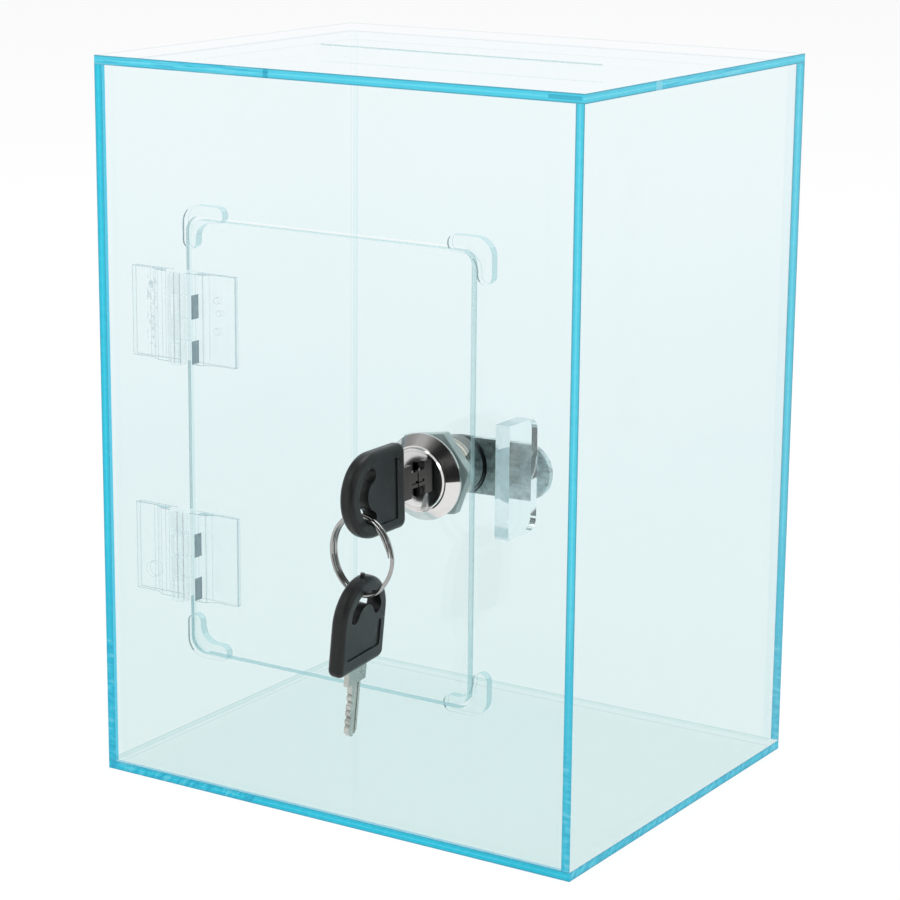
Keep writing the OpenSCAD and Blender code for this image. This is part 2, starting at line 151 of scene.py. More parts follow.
def grain(tree, scale, stretch=(1, 1, 1), detail=4.0, roughness=0.5):
    """Noise on the object's own coordinates, stretched along its axes."""
    place = put(tree, "TexCoord").outputs["Object"]
    place = put(tree, "Mapping", {"Vector": place, "Scale": stretch}).outputs[0]
    noise = put(tree, "TexNoise", {"Vector": place, "Scale": scale, "Detail": detail, "Roughness": roughness})
    return noise.outputs["Fac"]


def srgb(r, g, b, alpha=1.0):
    """A display colour, 0 to 255, as the linear values that shaders take."""
    def linear(v):
        v /= 255
        return v / 12.92 if v <= 0.04045 else ((v + 0.055) / 1.055) ** 2.4
    return (linear(r), linear(g), linear(b), alpha)


def wear(node_name, material):
    """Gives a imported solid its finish."""
    slots = nodes[node_name].data.materials
    if len(slots):
        slots[0] = material
    else:
        slots.append(material)

# %% [markdown]
# ## Studio
#
# The box stands on a white table in front of white paper. Both are plain white to the eye and in
# reflections, while the light that falls on the object comes from soft lamps and a mild sky. Two dusky
# parts of balls, which only reflections see, give the plated parts their dark bands. The left one is
# far away, so that the front panel doesn't mirror it, and the right one is near, so that the top
# doesn't mirror it when it is seen from behind.

# %% Table, sky and lamps
def make_sky():
    world = bpy.data.worlds.new("studio")
    scene.world = world
    world.use_nodes = True
    tree = world.node_tree
    tree.nodes.clear()
    rays = put(tree, "LightPath").outputs
    seen = maths(tree, "MAXIMUM", rays["Is Camera Ray"], rays["Is Glossy Ray"])
    seen = maths(tree, "MAXIMUM", seen, rays["Is Transmission Ray"])
    lighting = put(tree, "Background", {"Color": (0.96, 0.98, 1, 1), "Strength": 0.48}).outputs[0]
    paper = put(tree, "Background", {"Color": (1, 1, 1, 1), "Strength": 1.0}).outputs[0]
    mixed = put(tree, "MixShader", {0: seen, 1: lighting, 2: paper}).outputs[0]
    put(tree, "OutputWorld", {"Surface": mixed})


def make_table():
    material, tree, output = new_finish("white_table")
    rays = put(tree, "LightPath").outputs
    seen = maths(tree, "MAXIMUM", rays["Is Camera Ray"], rays["Is Glossy Ray"])
    seen = maths(tree, "MAXIMUM", seen, rays["Is Transmission Ray"])
    glow = maths(tree, "MULTIPLY", seen, TABLE_GLOW)
    white = blend_colour(tree, seen, (TABLE_WHITE, TABLE_WHITE, TABLE_WHITE, 1), (SHADOW_WHITE, SHADOW_WHITE, SHADOW_WHITE, 1))
    matt = put(tree, "BsdfDiffuse", {"Color": white}).outputs[0]
    lit = put(tree, "Emission", {"Color": (1, 1, 1, 1), "Strength": glow}).outputs[0]
    both = put(tree, "AddShader", {0: matt, 1: lit}).outputs[0]
    tree.links.new(both, output.inputs["Surface"])
    mesh = bpy.data.meshes.new("table")
    shape = bmesh.new()
    bmesh.ops.create_grid(shape, x_segments=1, y_segments=1, size=4.0)
    shape.to_mesh(mesh)
    shape.free()
    table = bpy.data.objects.new("table", mesh)
    table.location.z = -0.0002
    mesh.materials.append(material)
    scene.collection.objects.link(table)


def add_lamp(name, place, size, power, aim=(0, 0, 0.1)):
    data = bpy.data.lights.new(name, "AREA")
    data.shape = "DISK"
    data.size = size
    data.energy = power
    lamp = bpy.data.objects.new(name, data)
    lamp.location = place
    lamp.rotation_euler = (Vector(aim) - Vector(place)).to_track_quat("-Z", "Y").to_euler()
    scene.collection.objects.link(lamp)


def stage_for_reflections(name, shape, colour_of):
    """A piece of the studio that only reflections see; colour_of(tree) gives what they see."""
    material, tree, output = new_finish(name)
    colour, strength = colour_of(tree)
    glow = put(tree, "Emission", {"Color": colour, "Strength": strength}).outputs[0]
    tree.links.new(glow, output.inputs["Surface"])
    mesh = bpy.data.meshes.new(name)
    shape.to_mesh(mesh)
    shape.free()
    mesh.materials.append(material)
    piece = bpy.data.objects.new(name, mesh)
    piece.location = LOCK_PLACE
    for kind in ("camera", "diffuse", "transmission", "shadow", "volume_scatter"):
        setattr(piece, "visible_" + kind, False)
    scene.collection.objects.link(piece)


def dusk(tree):
    """Dark on the right, paler to the left, by the angle round the lock."""
    place = put(tree, "SeparateXYZ", {0: put(tree, "TexCoord").outputs["Object"]}).outputs
    angle = maths(tree, "ARCTAN2", place[0], maths(tree, "MULTIPLY", place[1], -1.0))
    turn = put(tree, "MapRange", {
        "Value": angle, "From Min": math.radians(DUSK_LEFT), "From Max": math.radians(DUSK_RIGHT)}).outputs[0]
    greys = [(0.0, 0.34), (0.1, 0.5), (0.25, 0.5), (0.52, 0.16), (0.73, 0.035), (0.84, 0.016), (1.0, 0.02)]
    return ramp(tree, turn, [(at, (grey, grey, grey, 1)) for at, grey in greys]), 1.0


def make_dusk(name, radius, left_end, right_end, foot):
    """Part of a ball round the lock, open where the flat panels mirror the studio."""
    shape = bmesh.new()
    bmesh.ops.create_uvsphere(shape, u_segments=72, v_segments=36, radius=radius)
    away = []
    for face in shape.faces:
        middle = face.calc_center_median()
        side = math.degrees(math.atan2(middle.x, -middle.y))
        height = math.degrees(math.asin(middle.z / middle.length))
        if not (left_end < side < right_end and height > foot):
            away.append(face)
    bmesh.ops.delete(shape, geom=away, context="FACES")
    stage_for_reflections(name, shape, dusk)


def make_plug_shade():
    """A small disc that the plug's polished face mirrors. It stands where that mirror looks, so that
    the door beside the lock doesn't show it."""
    shape = bmesh.new()
    bmesh.ops.create_circle(shape, cap_ends=True, segments=48, radius=SHADE_R)
    bmesh.ops.rotate(shape, cent=(0, 0, 0), matrix=Matrix.Rotation(math.pi / 2, 3, "X"), verts=shape.verts)
    seen_from = (LOCK_PLACE - CAMERA_PLACE).normalized()
    mirrored = Vector((seen_from.x, -seen_from.y, seen_from.z))
    bmesh.ops.translate(shape, vec=mirrored * SHADE_AWAY + SHADE_SHIFT, verts=shape.verts)
    stage_for_reflections("plug_shade", shape, lambda tree: ((0.02, 0.02, 0.02, 1), 1.0))


TABLE_WHITE = 0.62
SHADOW_WHITE = 0.10
TABLE_GLOW = 0.90
LOCK_PLACE = Vector((30.3, -64.0, 100.0)) * MM
FAR_DUSK, NEAR_DUSK = 900 * MM, 120 * MM
DUSK_LEFT, DUSK_MIDDLE, DUSK_RIGHT = -85, 15, 70
SHADE_R, SHADE_AWAY, SHADE_SHIFT = 6.6 * MM, 70 * MM, Vector((1.9, 0, 0.2)) * MM
make_sky()
make_table()
add_lamp("lamp_left", (-1.1, -1.2, 1.5), 1.0, 21)
add_lamp("lamp_right", (1.5, -0.7, 1.3), 1.0, 16)
add_lamp("lamp_top", (0.1, 0.5, 1.8), 1.2, 13)
make_dusk("dusk_far", FAR_DUSK, -110, DUSK_MIDDLE, 22)
make_dusk("dusk_near", NEAR_DUSK, DUSK_MIDDLE, DUSK_RIGHT, -12)
make_plug_shade()

# %% [markdown]
# ## Clear sheet
#
# Light that enters a clear sheet runs inside it and leaves at the cut edges, deepened to blue-green.
# The faces stay clear, with a faint tint that painted shade deepens towards the bottom. So one finish
# has two parts, told apart by the direction that the surface faces: a see-through face with a mirror
# sheen, and a coloured edge with darker border lines and a painted highlight down its middle. An edge
# that is glued to the next sheet doesn't show, and neither does an edge seen from inside the sheet.

# %% Sheet sizes
BOX_W, BOX_D, BOX_H, SHEET = 150 * MM, 120 * MM, 200 * MM, 2.5 * MM
FRONT_Y = -BOX_D / 2
OPENING_W, OPENING_H = 90 * MM, 120 * MM
PLASTIC_IOR = 1.49
TOP_TINT = (0.970, 0.993, 0.996, 1)
# Painted shade: the middle and bottom tints are deeper than the top one, so the faces darken downwards.
MIDDLE_TINT_SHADED = (0.930, 0.966, 0.969, 1)
BOTTOM_TINT_SHADED = (0.924, 0.962, 0.960, 1)
FLOOR_WEIGHT = 1.5
MIRROR_SHARE = 0.6
DEEP_BELOW = 54 * MM


# %% The sheet's two-part finish
def split(tree, socket):
    """The X, Y and Z outputs of a vector."""
    return put(tree, "SeparateXYZ", {0: socket}).outputs


def within(tree, value, middle, half):
    """1 where value lies within half of middle, else 0."""
    distance = maths(tree, "ABSOLUTE", maths(tree, "SUBTRACT", value, middle))
    return maths(tree, "LESS_THAN", distance, half)


def outer_mirror(tree):
    """How much a clear surface mirrors, the same for its front and its back."""
    back = put(tree, "NewGeometry").outputs["Backfacing"]
    ior = put(tree, "Mix", {"Factor": back, "A": PLASTIC_IOR, "B": 1 / PLASTIC_IOR}).outputs["Result"]
    return maths(tree, "MULTIPLY", put(tree, "Fresnel", {"IOR": ior}).outputs[0], MIRROR_SHARE)


def clear_face(tree, place, weight=1.0):
    """A see-through face: its tint deepens towards the bottom as painted shade, with a faint mirror sheen."""
    height = maths(tree, "DIVIDE", place[2], BOX_H, clamp=True)
    cloud = grain(tree, 14.0, (1, 1, 0.6), 3.0)
    lift = maths(tree, "MULTIPLY_ADD", cloud, 0.12)
    lift.node.inputs[2].default_value = -0.06
    height = maths(tree, "ADD", height, lift, clamp=True)
    # Painted shade: the tint deepens from the top down.
    tint = ramp(tree, height, [(0.0, BOTTOM_TINT_SHADED), (0.45, MIDDLE_TINT_SHADED), (1.0, TOP_TINT)])
    if weight < 1.0:
        tint = blend_colour(tree, weight, (1, 1, 1, 1), tint)
    elif weight > 1.0:
        tint = put(tree, "Gamma", {"Color": tint, "Gamma": weight}).outputs[0]
    through = put(tree, "BsdfTransparent", {"Color": tint}).outputs[0]
    sheen = put(tree, "BsdfGlossy", {"Color": (0.95, 0.98, 1, 1), "Roughness": 0.03}).outputs[0]
    return put(tree, "MixShader", {0: outer_mirror(tree), 1: through, 2: sheen}).outputs[0]


def streaks(tree, place, kind):
    """Saw marks in a cut edge, 0 to 1, and where along it they are strong."""
    along = maths(tree, "ADD", place[0], place[1])
    if kind == "diagonal":
        fine, coarse = maths(tree, "SUBTRACT", along, place[2]), maths(tree, "ADD", along, place[2])
        scales = (560, 170)
        on_right = maths(tree, "GREATER_THAN", place[0], BOX_W / 2 - SKIN)
        where = maths(tree, "MAXIMUM", on_right, maths(tree, "LESS_THAN", place[0], -24 * MM))
    elif kind == "long":
        fine, coarse = place[2], along
        scales = (1500, 60)
        on_right = within(tree, place[1], 0.0, 22 * MM)
        where = maths(tree, "MAXIMUM", on_right, maths(tree, "LESS_THAN", place[0], -18 * MM))
    else:
        fine, coarse = place[2], place[0]
        scales = (520, 150)
        where = maths(tree, "LESS_THAN", place[2], 38 * MM)
    u, v = maths(tree, "MULTIPLY", fine, scales[0]), maths(tree, "MULTIPLY", coarse, scales[1])
    place = put(tree, "CombineXYZ", {0: u, 1: v}).outputs[0]
    noise = put(tree, "TexNoise", {"Vector": place, "Scale": 1.0, "Detail": 3.0, "Roughness": 0.6}).outputs["Fac"]
    strength = put(tree, "MapRange", {"Value": where, "To Min": 0.15, "To Max": 1.0}).outputs[0]
    return noise, strength


def cut_edge(tree, place, across, colours, kind, solid=0.85, border=0.76):
    """A cut edge: across runs from 0 at its middle to 1 at its border lines. An upright edge is deeper
    in its lower part, where more light gathers."""
    painted_highlight, body, line = colours
    # The pale middle of the edge is a painted highlight; the border lines are darker.
    colour = ramp(tree, across, [
        (0.0, painted_highlight), (0.35, body), (border - 0.10, body), (border + 0.04, line), (1.0, line)])
    if kind == "ticks":
        lower = put(tree, "MapRange", {"Value": place[2], "From Min": DEEP_BELOW + 12 * MM, "From Max": DEEP_BELOW})
        deeper = (body[0] * 0.45, body[1] * 0.84, body[2] * 0.9, 1)
        colour = blend_colour(tree, maths(tree, "MULTIPLY", lower.outputs[0], 0.6), colour, deeper)
    noise, strength = streaks(tree, place, kind)
    dark = (body[0] * 0.35, body[1] * 0.66, body[2] * 0.78, 1)
    light = tuple(c + 0.35 * (1 - c) for c in painted_highlight[:3]) + (1,)
    low = ramp(tree, noise, [(0.38, (1, 1, 1, 1)), (0.50, (0, 0, 0, 1))])
    high = ramp(tree, noise, [(0.52, (0, 0, 0, 1)), (0.64, (1, 1, 1, 1))])
    colour = blend_colour(tree, maths(tree, "MULTIPLY", low, maths(tree, "MULTIPLY", strength, 0.75)), colour, dark)
    colour = blend_colour(tree, maths(tree, "MULTIPLY", high, maths(tree, "MULTIPLY", strength, 0.3)), colour, light)
    bump = put(tree, "Bump", {"Strength": 0.1, "Distance": 0.0002, "Height": noise}).outputs[0]
    surface = put(tree, "BsdfPrincipled", {
        "Base Color": colour, "Roughness": 0.25, "IOR": PLASTIC_IOR, "Normal": bump,
    }).outputs[0]
    through = put(tree, "BsdfTransparent", {"Color": body}).outputs[0]
    return put(tree, "MixShader", {0: solid, 1: through, 2: surface}).outputs[0]


def tinted(tree, colour):
    """A see-through surface of one colour."""
    return put(tree, "BsdfTransparent", {"Color": colour}).outputs[0]


def sheet_finish(name, axis, middle, shown, colours, kind="ticks", solid=0.85, weight=1.0,
                 half=SHEET / 2, inner_line=0.0, marks=(), glued=None, unlined=None):
    """Clear sheet that faces along axis (0, 1 or 2) and lies round middle on it.

    shown(tree, place, facing, front) gives 1 where a cut edge is bare. inner_line is the strength of
    the lines that a hidden edge shows at its borders, and marks lists (where, colour, strength), with
    where(tree, place, facing) 1 on the mark. glued is one such (where, colour), for a joint that
    lets the next sheet's colour through. unlined(tree, place) is 1 where no inner line is drawn."""
    material, tree, output = new_finish(name)
    where = put(tree, "TexCoord").outputs
    place = split(tree, where["Object"])
    facing = [maths(tree, "ABSOLUTE", s) for s in split(tree, where["Normal"])]
    across = maths(tree, "DIVIDE", maths(tree, "ABSOLUTE", maths(tree, "SUBTRACT", place[axis], middle)), half)
    is_edge = maths(tree, "LESS_THAN", facing[axis], 0.7)
    front = maths(tree, "SUBTRACT", 1.0, put(tree, "NewGeometry").outputs["Backfacing"])
    bare = maths(tree, "MULTIPLY", is_edge, shown(tree, place, facing, front))
    face = clear_face(tree, place, weight)
    if inner_line:
        at_border = maths(tree, "MULTIPLY", maths(tree, "GREATER_THAN", across, 0.84), is_edge)
        line = tinted(tree, OUTLINE)
        strength = maths(tree, "MULTIPLY", at_border, inner_line)
        if unlined:
            strength = maths(tree, "MULTIPLY", strength, maths(tree, "SUBTRACT", 1.0, unlined(tree, place)))
        face = put(tree, "MixShader", {0: strength, 1: face, 2: line}).outputs[0]
    if glued:
        face = put(tree, "MixShader", {0: glued[0](tree, place, facing), 1: face, 2: tinted(tree, glued[1])}).outputs[0]
    edge = cut_edge(tree, place, across, colours, kind, solid)
    surface = put(tree, "MixShader", {0: bare, 1: face, 2: edge}).outputs[0]
    for where_marked, colour, strength in marks:
        mark = put(tree, "BsdfDiffuse", {"Color": colour}).outputs[0]
        amount = maths(tree, "MULTIPLY", where_marked(tree, place, facing), strength)
        surface = put(tree, "MixShader", {0: amount, 1: surface, 2: mark}).outputs[0]
    tree.links.new(surface, output.inputs["Surface"])
    return material


def always(tree, place, facing, front):
    return front


def in_slot(tree, place):
    """1 in the ballot slot."""
    return maths(tree, "MULTIPLY", within(tree, place[0], 0.0, 46 * MM), within(tree, place[1], 0.0, 2 * MM))


def outer_edges(tree, place, facing, front):
    """The top's own edges, without those of the ballot slot."""
    return maths(tree, "MULTIPLY", front, maths(tree, "SUBTRACT", 1.0, in_slot(tree, place)))


def slot_rim(tree, place, facing):
    """The upper part of the ballot slot's back wall, which reads as one dark line."""
    back_wall = maths(tree, "MULTIPLY", facing[1], maths(tree, "GREATER_THAN", place[1], 0.0))
    near_top = maths(tree, "GREATER_THAN", place[2], BOX_H - SLOT_LINE)
    return maths(tree, "MULTIPLY", maths(tree, "MULTIPLY", in_slot(tree, place), back_wall), near_top)


def saw_stop(tree, place, facing):
    """Where the saw paused on the top's front edge: a short upright nick and a shallow step."""
    nick = within(tree, place[0], -18.9 * MM, 0.8 * MM)
    step = maths(tree, "MULTIPLY", within(tree, place[0], 69.5 * MM, 4.7 * MM), within(tree, place[2], 198.8 * MM, 0.5 * MM))
    return maths(tree, "MULTIPLY", maths(tree, "MAXIMUM", nick, step), maths(tree, "LESS_THAN", place[1], FRONT_Y + SKIN))


def saw_glint(tree, place, facing):
    """A painted glint on a nick in the top's right edge."""
    on_right = maths(tree, "GREATER_THAN", place[0], BOX_W / 2 - SKIN)
    return maths(tree, "MULTIPLY", within(tree, place[1], -23.1 * MM, 1.5 * MM), on_right)


def front_and_back(tree, place, facing, front):
    return maths(tree, "MULTIPLY", front, maths(tree, "GREATER_THAN", facing[1], 0.7))


def seen_through(tree, place, facing, front):
    """Front and back edges, the back one also from inside the sheet."""
    return maths(tree, "GREATER_THAN", facing[1], 0.7)


def round_the_opening(tree, place, facing, front):
    """The opening's cut. On the hinge side only its front part shows, beside the door, and it is
    faint behind the knuckles, which bend the light away from it."""
    wide = within(tree, place[0], 0.0, OPENING_W / 2 + 0.5 * MM)
    high = within(tree, place[2], BOX_H / 2, OPENING_H / 2 + 0.5 * MM)
    round_it = maths(tree, "MULTIPLY", maths(tree, "MULTIPLY", wide, high), front)
    hinge_side = maths(tree, "LESS_THAN", place[0], -OPENING_W / 2 + 4.6 * MM)
    deep = maths(tree, "GREATER_THAN", place[1], FRONT_Y + KERF_VIEW)
    for z in HINGE_HEIGHTS:
        deep = maths(tree, "MAXIMUM", deep, maths(tree, "MULTIPLY", within(tree, place[2], z, HINGE_HALF), 0.7))
    return maths(tree, "MULTIPLY", round_it, maths(tree, "SUBTRACT", 1.0, maths(tree, "MULTIPLY", hinge_side, deep)))


def never(tree, place, facing, front):
    return 0.0


def glued_ends(tree, place, facing):
    """The front panel's left and lower ends, through which the glowing sheets behind them show."""
    left_end = maths(tree, "LESS_THAN", place[0], SHEET - BOX_W / 2 + SKIN)
    foot = maths(tree, "LESS_THAN", place[2], SHEET + SKIN)
    at_end = maths(tree, "MULTIPLY", maths(tree, "MAXIMUM", left_end, foot), maths(tree, "LESS_THAN", facing[1], 0.7))
    return maths(tree, "MULTIPLY", at_end, maths(tree, "LESS_THAN", place[1], FRONT_Y + JOINT_VIEW))


# %% [markdown]
# ## The six panels and the door
#
# The top and bottom are full sheets that cover the walls, so their edges show all round. The side
# walls show only their front and back edges. The front and back walls are glued in between, and show
# none but the laser-cut opening, whose edge is finer and paler.

# %% Finish the panels
# Each edge colour set lists a painted highlight for the middle, then the body and the border line.
GLOW = (srgb(106, 224, 243), srgb(72, 206, 231), srgb(70, 160, 180))
DEEP = (srgb(56, 212, 236), srgb(24, 194, 222), srgb(50, 164, 190))
KERF = (srgb(226, 238, 239), srgb(214, 230, 231), srgb(184, 206, 208))
DOOR_CUT = (srgb(238, 252, 252), srgb(226, 244, 245), srgb(116, 160, 164))
OUTLINE = (0.55, 0.66, 0.69, 1)
SLOT_DARK = srgb(196, 222, 223)
SLOT_LINE = 0.45 * MM
KERF_VIEW = 1.3 * MM
JOINT_VIEW, JOINT_TINT = 1.2 * MM, srgb(92, 208, 236)
SKIN = 0.05 * MM
HINGE_HEIGHTS = [sum(corner.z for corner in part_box(hinge + "_hinge_pin")) / 2 for hinge in ("upper", "lower")]
HINGE_HALF = (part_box("upper_hinge_pin")[1].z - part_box("upper_hinge_pin")[0].z) / 2
SIDE_MIDDLE = BOX_W / 2 - SHEET / 2
FRONT_MIDDLE = FRONT_Y + SHEET / 2
DOOR_MIDDLE = (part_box("door_panel")[0].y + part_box("door_panel")[1].y) / 2
wear("top_panel", sheet_finish(
    "top_sheet", 2, BOX_H - SHEET / 2, outer_edges, GLOW, "long", weight=0.2, inner_line=0.5, unlined=in_slot,
    marks=[(slot_rim, SLOT_DARK, 0.8), (saw_stop, srgb(24, 140, 172), 0.5), (saw_glint, srgb(170, 226, 238), 0.5)]))
wear("bottom_panel", sheet_finish("bottom_sheet", 2, SHEET / 2, always, DEEP, "diagonal", weight=FLOOR_WEIGHT, inner_line=0.4))
wear("left_side_panel", sheet_finish("left_sheet", 0, -SIDE_MIDDLE, front_and_back, DEEP, inner_line=0.3))
wear("right_side_panel", sheet_finish("right_sheet", 0, SIDE_MIDDLE, seen_through, GLOW))
wear("front_panel", sheet_finish(
    "front_sheet", 1, FRONT_MIDDLE, round_the_opening, KERF, solid=0.55, glued=(glued_ends, JOINT_TINT)))
wear("back_panel", sheet_finish("back_sheet", 1, -FRONT_MIDDLE, never, KERF))
wear("door_panel", sheet_finish("door_sheet", 1, DOOR_MIDDLE, always, DOOR_CUT, solid=0.4))
print("panels finished")

# %% [markdown]
# ## Door stops, catch block and hinges
#
# These small pieces are clear too. The stops and the block are cut from sheet, so their walls show as
# soft grey-green lines. The hinge leaves are moulded: thin clear plates with a thicker root and round,
# slightly milky knuckles on a clear pin.

# %% Finish the small clear pieces
WALL = (srgb(232, 246, 248), srgb(226, 243, 245), srgb(120, 156, 160))
STOP_MIDDLE = FRONT_Y + 1.5 * SHEET


def end_cap(tree, place, facing):
    """The stops' ends, which face sideways and look teal from outside."""
    outside = maths(tree, "SUBTRACT", 1.0, put(tree, "NewGeometry").outputs["Backfacing"])
    return maths(tree, "MULTIPLY", outside, maths(tree, "GREATER_THAN", facing[0], 0.86))


def far_wall_line(tree, place, facing):
    """The stops' far walls, which gather into one thin dark line at their front."""
    return maths(tree, "MULTIPLY", maths(tree, "GREATER_THAN", facing[0], 0.7),
                 maths(tree, "LESS_THAN", place[1], STOP_MIDDLE - STOP_LINE))


STOP_LINE, STOP_DARK = 0.6 * MM, srgb(150, 168, 172)
stop_finish = sheet_finish(
    "stop_sheet", 1, STOP_MIDDLE, always, WALL, solid=0.1, weight=0.35, inner_line=0.8,
    marks=[(end_cap, srgb(150, 206, 214), 0.22)], glued=(far_wall_line, STOP_DARK))
for upright in ("upper", "lower"):
    for side in ("left", "right"):
        wear(f"{upright}_{side}_door_stop", stop_finish)


def solid_clear(name, colour):
    """A solid clear block, with real refraction, so that what stands behind it is bent and doubled.
    Glue makes its front, which is joined to the front panel, a little hazy, painted as a faint glow. A
    ray still inside it after many bounces glows with a painted pale light."""
    material, tree, output = new_finish(name)
    scuff = grain(tree, 260.0, (1, 0.2, 1), 5.0)
    rough = put(tree, "MapRange", {"Value": scuff, "To Min": 0.0, "To Max": 0.06}).outputs[0]
    glass = put(tree, "BsdfPrincipled", {
        "Base Color": colour, "Roughness": rough, "IOR": PLASTIC_IOR, "Transmission Weight": 1.0,
    }).outputs[0]
    # Painted light: a ray still inside the block after many bounces glows pale instead of going dark.
    trapped = maths(tree, "GREATER_THAN", put(tree, "LightPath").outputs["Ray Depth"], TRAPPED_AFTER)
    edge_light = put(tree, "Emission", {"Color": TRAPPED_LIGHT, "Strength": 1.0}).outputs[0]
    surface = put(tree, "MixShader", {0: trapped, 1: glass, 2: edge_light}).outputs[0]
    outside = maths(tree, "SUBTRACT", 1.0, put(tree, "NewGeometry").outputs["Backfacing"])
    front = maths(tree, "LESS_THAN", split(tree, put(tree, "TexCoord").outputs["Normal"])[1], -0.7)
    joined = maths(tree, "MULTIPLY", maths(tree, "MULTIPLY", outside, front), JOINT_HAZE)
    # Painted light: the glue's haze on the joined front is drawn as a faint glow.
    painted_joint_glow = put(tree, "Emission", {"Color": JOINT_LIGHT, "Strength": 1.0}).outputs[0]
    surface = put(tree, "MixShader", {0: joined, 1: surface, 2: painted_joint_glow}).outputs[0]
    tree.links.new(surface, output.inputs["Surface"])
    return material


TRAPPED_AFTER = 4.5
TRAPPED_LIGHT = srgb(182, 208, 213)
JOINT_HAZE, JOINT_LIGHT = 0.4, srgb(208, 228, 231)
wear("catch_block", solid_clear("clear_block", (0.93, 0.975, 0.98, 1)))


LEAF_WALL = (srgb(226, 240, 242), srgb(220, 236, 239), srgb(120, 150, 156))
LEAF_HALF = 0.75 * MM
PIN_X = -OPENING_W / 2 - 0.1 * MM
PIN_Y, KNUCKLE_R = -64.3 * MM, 2.5 * MM
WINDOW_EDGE = 4.1 * MM
LEAF_LINES = [-56.0, -53.4, -52.2, -39.6, -37.4]
BUBBLES = [(-34.1, 138.4, 0.9), (-33.5, 135.0, 0.8), (-34.2, 130.1, 0.9), (-56.8, 61.5, 2.2)]


def plate_edges(tree, place, facing, front):
    """The front part of the leaves' outer edges, without the knuckles."""
    beside = maths(tree, "ABSOLUTE", maths(tree, "SUBTRACT", place[0], PIN_X))
    shallow = maths(tree, "LESS_THAN", place[1], LEAF_MIDDLE - 0.1 * MM)
    return maths(tree, "MULTIPLY", maths(tree, "MULTIPLY", front, shallow), maths(tree, "GREATER_THAN", beside, WINDOW_EDGE + 1 * MM))


def shaded_window_wall(tree, place, facing):
    """The end walls of the door leaf's windows, with painted shade that makes them look dark through the clear root."""
    beside = maths(tree, "SUBTRACT", place[0], PIN_X)
    at_end = within(tree, beside, WINDOW_EDGE, 0.2 * MM)
    return maths(tree, "MULTIPLY", at_end, maths(tree, "GREATER_THAN", facing[0], 0.7))


def knuckle_haze_and_sheen(tree, place, facing):
    """A milky cast in the knuckles, with a painted pale sheen that makes it stronger at their sides."""
    dx, dy = maths(tree, "SUBTRACT", place[0], PIN_X), maths(tree, "SUBTRACT", place[1], PIN_Y)
    away = maths(tree, "SQRT", maths(tree, "ADD", maths(tree, "MULTIPLY", dx, dx), maths(tree, "MULTIPLY", dy, dy)))
    outside = within(tree, away, KNUCKLE_R, 0.5 * MM)
    return maths(tree, "MULTIPLY", outside, maths(tree, "SUBTRACT", 1.15, facing[1]))


def leaf_outline(tree, place, facing):
    """A thin grey line round each plate."""
    sides = maths(tree, "MAXIMUM", within(tree, place[0], LEAF_LEFT, LINE_W), within(tree, place[0], LEAF_RIGHT, LINE_W))
    for z in LEAF_ENDS:
        sides = maths(tree, "MAXIMUM", sides, within(tree, place[2], z, LINE_W))
    off_pin = maths(tree, "SUBTRACT", 1.0, within(tree, place[0], PIN_X, KNUCKLE_R))
    return maths(tree, "MULTIPLY", maths(tree, "MULTIPLY", sides, off_pin), maths(tree, "GREATER_THAN", facing[1], 0.7))


def ramp_shade_and_bubbles(tree, place, facing):
    """Fine upright lines of painted shade along the steps of the leaves' thicker root, with a few bubbles in the glue.
    """
    total = 0.0
    for x in LEAF_LINES:
        total = maths(tree, "ADD", total, within(tree, place[0], x * MM, 0.11 * MM))
    for x, z, radius in BUBBLES:
        dx, dz = maths(tree, "SUBTRACT", place[0], x * MM), maths(tree, "SUBTRACT", place[2], z * MM)
        away = maths(tree, "SQRT", maths(tree, "ADD", maths(tree, "MULTIPLY", dx, dx), maths(tree, "MULTIPLY", dz, dz)))
        total = maths(tree, "ADD", total, maths(tree, "MULTIPLY", within(tree, away, radius * MM, 0.1 * MM), 0.7))
    return maths(tree, "MINIMUM", total, maths(tree, "GREATER_THAN", facing[1], 0.7))


def glue_smear(tree, place, facing):
    """Dried glue under the upper leaf's outer part."""
    patch = maths(tree, "MULTIPLY", within(tree, place[0], -56.2 * MM, 1.1 * MM), within(tree, place[2], 133 * MM, 10 * MM))
    spots = ramp(tree, grain(tree, 1100.0, (1, 1, 0.5), 4.0, 0.7), [(0.52, (0, 0, 0, 1)), (0.60, (1, 1, 1, 1))])
    return maths(tree, "MULTIPLY", patch, spots)


LEAF_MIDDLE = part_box("upper_hinge_frame_leaf")[1].y - LEAF_HALF
LEAF_LEFT, LEAF_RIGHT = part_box("upper_hinge_frame_leaf")[0].x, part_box("upper_hinge_door_leaf")[1].x
LEAF_ENDS = [corner.z for hinge in ("upper", "lower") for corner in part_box(hinge + "_hinge_frame_leaf")]
LINE_W = 0.16 * MM
# The leaves carry painted shade on the windows' end walls and along the root's steps, and a painted sheen in the
# knuckles.
leaf_finish = sheet_finish(
    "leaf_moulding", 1, LEAF_MIDDLE, plate_edges, LEAF_WALL, solid=0.25, weight=0.3, half=LEAF_HALF,
    marks=[(shaded_window_wall, srgb(98, 128, 138), 0.8), (knuckle_haze_and_sheen, srgb(228, 240, 241), 0.25),
           (ramp_shade_and_bubbles, srgb(160, 190, 196), 0.35), (glue_smear, srgb(150, 176, 184), 0.35),
           (leaf_outline, srgb(120, 144, 150), 0.5)])


def pin_side(tree, place, facing):
    """The pin's sides, which refraction darkens to a faint reddish line."""
    return maths(tree, "GREATER_THAN", facing[0], 0.975)


pin_finish = sheet_finish(
    "clear_pin", 1, 0.0, never, LEAF_WALL, weight=0.3, marks=[(pin_side, srgb(170, 158, 162), 0.5)])
for hinge in ("upper", "lower"):
    wear(f"{hinge}_hinge_frame_leaf", leaf_finish)
    wear(f"{hinge}_hinge_door_leaf", leaf_finish)
    wear(f"{hinge}_hinge_pin", pin_finish)
print("small clear pieces finished")
